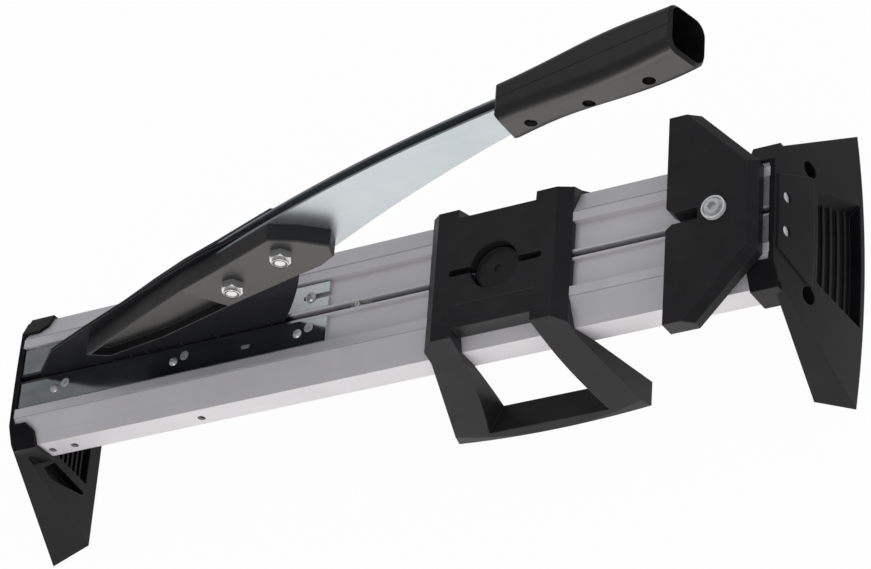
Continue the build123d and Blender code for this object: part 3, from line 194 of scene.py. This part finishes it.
# Studio
# A white sweep under soft lamps: a broad one and a low near one in front, a small one behind and
# above, and one at the right.
SKY_COLOUR = (0.95, 0.96, 1.0, 1.0)
FLOOR_HALF = 9.0
FLOOR_LEVEL = -0.0005
PAPER_COLOUR = (0.86, 0.86, 0.86, 1.0)
PAPER_GLOW = 0.97
# What the floor shows in a mirror: one level behind the cutter and one in front, with a fade
# between two values of Y, and a dark one to the right, with a fade between two values of X.
MIRRORED_BACK = (0.45, 0.45, 0.46, 1.0)
MIRRORED_FRONT = (1.15, 1.11, 1.08, 1.0)
MIRRORED_RIGHT = (0.08, 0.08, 0.09, 1.0)
BACK_END = 0.09
FRONT_START = -0.13
RIGHT_FADE_START = 0.5
RIGHT_FADE_END = 0.75


def sky(lighting, mirrored):
    """White world where it is seen, with one level where it lights and one where it is mirrored."""
    world = bpy.data.worlds.new("studio")
    world.use_nodes = True
    world.node_tree.nodes.clear()
    start = Shade(world.node_tree)
    camera_ray = light_path(start, "Is Camera Ray")
    seen = (camera_ray + light_path(start, "Is Transmission Ray")).held(0.0, 1.0)
    unseen = lighting + light_path(start, "Is Glossy Ray") * (mirrored - lighting)
    level = seen + (1 - seen) * unseen
    colour = seen.blend(SKY_COLOUR, WHITE)
    back = start.make("ShaderNodeBackground", {"Color": colour, "Strength": level})
    back.lead_to("ShaderNodeOutputWorld")
    bpy.context.scene.world = world


def lamp(name, place, aim, size, power, colour):
    """Square soft lamp at a place, facing a point."""
    light = bpy.data.lights.new(name, "AREA")
    light.size = size
    light.energy = power
    light.color = colour
    holder = bpy.data.objects.new(name, light)
    holder.visible_camera = False
    away = np.array(place) - np.array(aim)
    away /= np.linalg.norm(away)
    side = np.cross((0.0, 0.0, 1.0), away)
    side /= np.linalg.norm(side)
    turn = Matrix((side, np.cross(away, side), away)).transposed().to_4x4()
    holder.matrix_world = Matrix.Translation(place) @ turn
    bpy.context.scene.collection.objects.link(holder)


def floor_finish():
    """White paper that shows as white and keeps a little of the shadows.

    It is mirrored brightest in front, and darkest to the right.
    """
    paper, start = new_finish("paper")
    matt = start.make("ShaderNodeBsdfDiffuse", {"Color": PAPER_COLOUR})
    x, y, _ = axis_values(start)
    mirrored = y.held(BACK_END, FRONT_START).blend(MIRRORED_BACK, MIRRORED_FRONT)
    mirrored = x.held(RIGHT_FADE_END, RIGHT_FADE_START).blend(MIRRORED_RIGHT, mirrored)
    camera_ray = light_path(start, "Is Camera Ray")
    colour = camera_ray.blend(mirrored, WHITE)
    glow = start.make("ShaderNodeEmission", {"Color": colour, "Strength": 1.0})
    seen = (camera_ray + light_path(start, "Is Glossy Ray")).held(0.0, 1.0)
    mix = start.make("ShaderNodeMixShader", {0: seen * PAPER_GLOW, 1: matt, 2: glow})
    mix.lead_to("ShaderNodeOutputMaterial")
    return paper


sky(lighting=0.7, mirrored=0.16)
lamp(
    "front_lamp", place=(0.2, -3.0, 0.8), aim=(0.0, 0.0, 0.15),
    size=2.2, power=15.0, colour=(1.0, 0.96, 0.92),
)
lamp(
    "low_lamp", place=(-0.25, -1.3, 0.28), aim=(0.3, 0.0, 0.08),
    size=0.5, power=1.5, colour=(1.0, 0.95, 0.92),
)
lamp(
    "back_lamp", place=(-0.61, 1.0, 1.59), aim=(0.3, 0.0, 0.12),
    size=0.7, power=0.6, colour=(1.0, 0.98, 0.96),
)
lamp(
    "side_lamp", place=(2.6, 0.5, 1.5), aim=(0.2, 0.0, 0.1),
    size=1.2, power=3.0, colour=(0.96, 0.98, 1.0),
)
floor_corners = [
    (x * FLOOR_HALF, y * FLOOR_HALF, FLOOR_LEVEL) for x, y in ((-1, -1), (1, -1), (1, 1), (-1, 1))
]
floor_mesh = bpy.data.meshes.new("floor")
floor_mesh.from_pydata(floor_corners, [], [(0, 1, 2, 3)])
floor = bpy.data.objects.new("floor", floor_mesh)
floor.data.materials.append(floor_finish())
bpy.context.scene.collection.objects.link(floor)


# Beam
# One length of aluminium extrusion, natural anodised: satin, with faint die lines along its
# length. The lips of its slot carry a painted shadow of the blade where it comes down between them.
LIP_HALF = 0.0056
LIP_FADE = 0.0003
LIP_SHADOW_START = -0.098
LIP_SHADOW_END = -0.102
LIP_SHADOW_LOW = 0.085
LIP_SHADOW_HIGH = 0.088


def blade_shadow_lips(start):
    """1 on the two lips of the slot under the blade, where their shadow is painted, and 0
    elsewhere.
    """
    x, y, z = axis_values(start)
    inner = LIP_HALF - LIP_FADE
    lips = y.held(-LIP_HALF, -inner) * y.held(LIP_HALF, inner)
    return lips * x.held(LIP_SHADOW_START, LIP_SHADOW_END) * z.held(LIP_SHADOW_LOW, LIP_SHADOW_HIGH)


def anodised():
    dark, pale = (0.68, 0.665, 0.69, 1.0), (0.78, 0.765, 0.79, 1.0)
    worn, lip_shadow = (0.85, 0.85, 0.86, 1.0), (0.02, 0.02, 0.022, 1.0)
    material, start = new_finish("anodised_aluminium")
    along_x = coordinates(start, stretch=(1.2, 900.0, 900.0))
    lines = noise(start, along_x, scale=1.0, detail=4.0, roughness=0.6)
    cloud = noise(start, coordinates(start), scale=14.0)
    rim, rounded = edges(start, width=0.0006)
    colour = (lines * 0.35 + cloud * 0.65).held(0.3, 0.7).blend(dark, pale)
    colour = (rim * 0.5).blend(colour, worn)
    # Painted shadow of the blade: the slot's lips darkened to near black where the blade stands
    # over them.
    colour = (blade_shadow_lips(start) * 0.95).blend(colour, lip_shadow)
    bumps = relief(start, lines, strength=0.12, distance=0.0004, rounded=rounded)
    cover(start, colour, metallic=0.5, roughness=0.34 + lines * 0.14, normal=bumps)
    return material


dress(anodised(), "base_beam")


# Cutting plates
# Two strips of bright zinc plated steel on the beam's beds, wiped and a little stained beside
# the slot.
def zinc_plate():
    dark, pale = (0.66, 0.73, 0.75, 1.0), (0.88, 0.94, 0.95, 1.0)
    worn = (0.85, 0.86, 0.86, 1.0)
    material, start = new_finish("zinc_plate")
    wiped = coordinates(start, stretch=(1.0, 2.4, 1.0))
    stains = noise(start, wiped, scale=22.0, detail=6.0, roughness=0.62)
    fine = noise(start, coordinates(start, stretch=(60.0, 900.0, 60.0)), scale=1.0)
    rim, rounded = edges(start, width=0.0004)
    colour = stains.held(0.35, 0.68).blend(dark, pale)
    colour = (rim * 0.15).blend(colour, worn)
    bumps = relief(start, fine, strength=0.06, distance=0.0003, rounded=rounded)
    cover(start, colour, metallic=1.0, roughness=0.07 + stains * 0.16, normal=bumps)
    return material


dress(zinc_plate(), "front_cutting_plate", "rear_cutting_plate")


# Screws, nuts and washers
# Turned and pressed steel, bright zinc plated, with a fine grain. The less metallic a piece is
# here, the paler it looks. The pale copy is painted light: it lifts the washer and the foot
# screws, which face up and would mirror only the dim sky.
def plated(name, metallic):
    dark, pale = (0.72, 0.73, 0.73, 1.0), (0.86, 0.86, 0.85, 1.0)
    worn = (0.9, 0.9, 0.9, 1.0)
    material, start = new_finish(name)
    grain = noise(start, coordinates(start), scale=900.0)
    patches = noise(start, coordinates(start), scale=160.0, detail=2.0)
    rim, rounded = edges(start, width=0.0003)
    colour = patches.held(0.3, 0.7).blend(dark, pale)
    colour = (rim * 0.5).blend(colour, worn)
    bumps = relief(start, grain, strength=0.1, distance=0.0002, rounded=rounded)
    cover(start, colour, metallic, roughness=0.2 + grain * 0.18, normal=bumps)
    return material


dress(
    plated("bright_steel", metallic=0.8),
    "rear_plate_screws", "rear_plate_washers", "slot_stop_screw", "slot_stop_nut",
    "pivot_pin", "block_screws", "guide_screws", "blade_spacers",
    "carrier_bolts", "carrier_nuts", "grip_screws",
    "support_clamp_screw", "support_slot_nut", "stop_clamp_bolt", "stop_slot_nut",
)
# Lit copy of the same steel, less metallic so that these upward facing pieces look paler: painted
# light.
dress(plated("pale_steel", metallic=0.3), "stop_washer", "foot_screws")
dress(plated("dull_steel", metallic=0.62), "plate_dome_screws", "plate_sunk_screws")


# Pivot bush
# A plain sintered bronze ring pressed into the blade's tang, darkened by the oil it holds.
def sintered():
    dark, pale = (0.20, 0.13, 0.06, 1.0), (0.45, 0.31, 0.14, 1.0)
    material, start = new_finish("bronze")
    pores = noise(start, coordinates(start), scale=2500.0, detail=2.0)
    colour = pores.held(0.35, 0.65).blend(dark, pale)
    bumps = relief(start, pores, strength=0.2, distance=0.0001)
    cover(start, colour, metallic=0.9, roughness=0.35 + pores * 0.2, normal=bumps)
    return material


dress(sintered(), "pivot_bush")


# Blade
# Flat steel, blackened all over, with its grinding lines along the length, and lighter at its
# edges: partly rubbed bare, partly a painted highlight.
def blackened():
    dark, pale = (0.007, 0.007, 0.009, 1.0), (0.016, 0.016, 0.019, 1.0)
    worn = (0.45, 0.45, 0.46, 1.0)
    material, start = new_finish("dark_blade")
    rubbed = coordinates(start, stretch=(5.0, 1.0, 40.0))
    rub = noise(start, rubbed, scale=6.0, detail=6.0, roughness=0.65)
    lines = noise(start, coordinates(start, stretch=(8.0, 100.0, 500.0)), scale=1.0)
    rim, rounded = edges(start, width=0.0004)
    colour = rub.held(0.35, 0.75).blend(dark, pale)
    # Lighter edges round the outline and the slots: partly rubbed steel, partly a painted
    # highlight.
    colour = (rim * 0.7).blend(colour, worn)
    bumps = relief(start, lines, strength=0.08, distance=0.0003, rounded=rounded)
    cover(start, colour, metallic=0.0, roughness=0.3 + rub * 0.18, normal=bumps, shine=0.16)
    return material


dress(blackened(), "blade")


# Lever
# Bent sheet steel, satin zinc plated: pale blue grey with faint rolling lines along its length.
LEVER_TILT = math.radians(18.0)


def zinc_lever():
    dark, pale = (0.51, 0.57, 0.605, 1.0), (0.62, 0.68, 0.715, 1.0)
    worn = (0.92, 0.93, 0.94, 1.0)
    material, start = new_finish("zinc_lever")
    along = coordinates(start, stretch=(3.0, 300.0, 700.0), turn=(0.0, LEVER_TILT, 0.0))
    lines = noise(start, along, scale=1.0, detail=4.0, roughness=0.6)
    cloud = noise(start, coordinates(start), scale=9.0, detail=4.0, roughness=0.6)
    rim, rounded = edges(start, width=0.0005)
    colour = (lines * 0.3 + cloud * 0.7).held(0.3, 0.7).blend(dark, pale)
    colour = (rim * 0.5).blend(colour, worn)
    bumps = relief(start, lines, strength=0.06, distance=0.0003, rounded=rounded)
    cover(start, colour, metallic=0.9, roughness=0.26 + cloud * 0.14, normal=bumps)
    return material


dress(zinc_lever(), "lever_arm")


# Black mouldings
# Glass filled black plastic: fine spark grain, edges a little greyer where the grain is rubbed.
# The feet have the least sheen, and the carrier and the grip the most.
def moulded(name, dark, pale, grain_scale, depth, gloss, shine, rounding):
    worn = (0.10, 0.10, 0.105, 1.0)
    material, start = new_finish(name)
    grain = noise(start, coordinates(start), grain_scale, roughness=0.6)
    dust = noise(start, coordinates(start), scale=26.0, detail=5.0, roughness=0.65)
    rim, rounded = edges(start, rounding)
    colour = dust.held(0.3, 0.8).blend(dark, pale)
    colour = (rim * 0.35).blend(colour, worn)
    bumps = relief(start, grain, depth, distance=0.0002, rounded=rounded)
    cover(start, colour, 0.0, gloss + grain * 0.16 + dust * 0.06, bumps, shine)
    return material


body_plastic = moulded(
    "black_plastic", dark=(0.012, 0.012, 0.013, 1.0), pale=(0.022, 0.022, 0.023, 1.0),
    grain_scale=1400.0, depth=0.1, gloss=0.26, shine=0.27, rounding=0.0014,
)
foot_plastic = moulded(
    "foot_plastic", dark=(0.004, 0.004, 0.005, 1.0), pale=(0.009, 0.009, 0.010, 1.0),
    grain_scale=1400.0, depth=0.1, gloss=0.26, shine=0.2, rounding=0.0014,
)
carrier_plastic = moulded(
    "carrier_plastic", dark=(0.006, 0.006, 0.006, 1.0), pale=(0.014, 0.014, 0.014, 1.0),
    grain_scale=1100.0, depth=0.08, gloss=0.3, shine=1.0, rounding=0.0012,
)
grip_plastic = moulded(
    "grip_plastic", dark=(0.005, 0.005, 0.006, 1.0), pale=(0.012, 0.012, 0.013, 1.0),
    grain_scale=1200.0, depth=0.12, gloss=0.3, shine=1.0, rounding=0.0006,
)
dress(
    body_plastic,
    "front_pivot_cheek", "rear_pivot_cheek", "blade_guide",
    "sliding_support", "support_clamp_disc", "angle_stop",
)
dress(foot_plastic, "left_foot", "right_foot")
dress(carrier_plastic, "carrier_front", "carrier_rear")
dress(grip_plastic, "grip_front", "grip_rear")


# Inserts of the lock nuts
# A dark nylon ring in the mouth of each lock nut's collar, rolled in by the collar's edge; its
# dark tone is also painted shade round the bolt's end.
# Each bolt stands at a share of the carrier's length and height, from the carrier's low end.
PIVOT_X = -0.367
PIVOT_Z = 0.102
CARRIER_START = 0.073
CARRIER_RISE = 0.061
CARRIER_LENGTH = 0.319
CARRIER_HEIGHT = 0.124
BOLT_SHARES = [(0.634, 0.558), (0.851, 0.790)]
COLLAR_FACE = -0.0337
INSERT_RADIUS = 0.00645
INSERT_WIDTH = 0.0009
INSERT_RISE = 0.0004
INSERT_TURNS = 64
RING_SIDES = 12
# How far a ring sinks into the face that carries it, as a share of its rise.
SUNK = 0.25


def grid_faces(rows, columns, closed):
    """Squares of a grid of points that closes across its columns, and across its rows if closed."""
    first = np.arange(rows * columns).reshape(rows, columns)
    along = np.roll(first, -1, axis=0) if closed else first[1:]
    here = first if closed else first[:-1]
    corners = [here, along, np.roll(along, -1, axis=1), np.roll(here, -1, axis=1)]
    return np.stack(corners, axis=-1).reshape(-1, 4).tolist()


def piece(name, rings, faces, material, body):
    """New smooth piece that moves with a body: each of its rings has the same faces."""
    count = len(rings[0])
    shifted = [
        [corner + count * number for corner in face]
        for number in range(len(rings))
        for face in faces
    ]
    mesh = bpy.data.meshes.new(name)
    mesh.from_pydata([tuple(point) for point in np.concatenate(rings)], [], shifted)
    mesh.polygons.foreach_set("use_smooth", [True] * len(mesh.polygons))
    mesh.materials.append(material)
    made = bpy.data.objects.new(name, mesh)
    bpy.context.scene.collection.objects.link(made)
    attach(made, body)


def around(count):
    """Angles that share out one whole turn."""
    return np.linspace(0.0, 2 * math.pi, count, endpoint=False)


def insert_points(x, z):
    """Ring about Y: at each turn a flattened half-round section, its middle at the ring's radius.

    Radius = INSERT_RADIUS + half of INSERT_WIDTH times cos(section angle), and
    Y = COLLAR_FACE less INSERT_RISE times sin(section angle), with the sine held at -SUNK.
    """
    turn = around(INSERT_TURNS)[:, None]
    section = around(RING_SIDES)[None, :]
    radius = INSERT_RADIUS + INSERT_WIDTH / 2 * np.cos(section)
    rise = INSERT_RISE * np.maximum(np.sin(section), -SUNK)
    out = COLLAR_FACE - rise + 0 * turn
    points = [x + radius * np.cos(turn), out, z + radius * np.sin(turn)]
    return np.stack(points, axis=-1).reshape(-1, 3)


# Dark ring colour: partly the nylon insert, partly painted shade round the bolt's end.
insert_and_shade_plastic = moulded(
    "insert_and_shade_plastic", dark=(0.012, 0.014, 0.020, 1.0), pale=(0.02, 0.024, 0.034, 1.0),
    grain_scale=1500.0, depth=0.1, gloss=0.3, shine=0.4, rounding=0.0002,
)
first_x = PIVOT_X + CARRIER_START
first_z = PIVOT_Z + CARRIER_RISE
inserts = [
    insert_points(first_x + CARRIER_LENGTH * x, first_z + CARRIER_HEIGHT * z)
    for x, z in BOLT_SHARES
]
squares = grid_faces(INSERT_TURNS, RING_SIDES, closed=True)
piece("nut_inserts", inserts, squares, insert_and_shade_plastic, "arm")


# Rims of the clamp recess
# Moulded in one with the saddle and the disc: low half-round rims round the recess and along
# the disc's edge.
RECESS_CENTRE = 0.1235
SADDLE_TOP = 0.137
DISC_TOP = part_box("support_clamp_disc")[1][2]
SLIT_HALF_ANGLE = math.radians(11.0)
# Each rim: its radius, half its width, its rise, and the level of the face that carries it.
SADDLE_RIM = (0.0246, 0.0006, 0.00035, SADDLE_TOP)
DISC_RIM = (0.0213, 0.0009, 0.0007, DISC_TOP)
RIM_TURNS = 72
RIM_TAPER = 3.0
RIM_TIP = 0.02


def rim_points(rim, start_angle, end_angle):
    """Rim about Z from one angle to another: a half-round section that shrinks at both ends.

    Radius = the rim's radius + size times half the width times cos(section angle), and
    Z = the level of the face + size times the rise times sin(section angle), with the sine
    held at -SUNK, where size = RIM_TAPER times the square root of
    sin(pi times the share of the way along), held between RIM_TIP and 1.
    """
    middle, half_width, rise, level = rim
    share = np.linspace(0.0, 1.0, RIM_TURNS)[:, None]
    swell = np.sqrt(np.sin(math.pi * share).clip(0.0, 1.0)) * RIM_TAPER
    size = np.clip(swell, RIM_TIP, 1.0)
    turn = start_angle + (end_angle - start_angle) * share
    section = around(RING_SIDES)[None, :]
    radius = middle + size * half_width * np.cos(section)
    high = level + size * rise * np.maximum(np.sin(section), -SUNK)
    points = [RECESS_CENTRE + radius * np.cos(turn), radius * np.sin(turn), high]
    return np.stack(points, axis=-1).reshape(-1, 3)


def rim_piece(name, rim, ends, body):
    """Rims between pairs of angles, closed at both ends."""
    count = RIM_TURNS * RING_SIDES
    caps = [list(range(RING_SIDES)), list(range(count - RING_SIDES, count))[::-1]]
    faces = grid_faces(RIM_TURNS, RING_SIDES, closed=False) + caps
    rims = [rim_points(rim, low, high) for low, high in ends]
    piece(name, rims, faces, body_plastic, body)


disc_halves = [(0.0, math.pi), (math.pi, 2 * math.pi)]
saddle_halves = [(low + SLIT_HALF_ANGLE, high - SLIT_HALF_ANGLE) for low, high in disc_halves]
rim_piece("recess_rim", SADDLE_RIM, saddle_halves, "support")
rim_piece("disc_rim", DISC_RIM, disc_halves, "support_clamp")
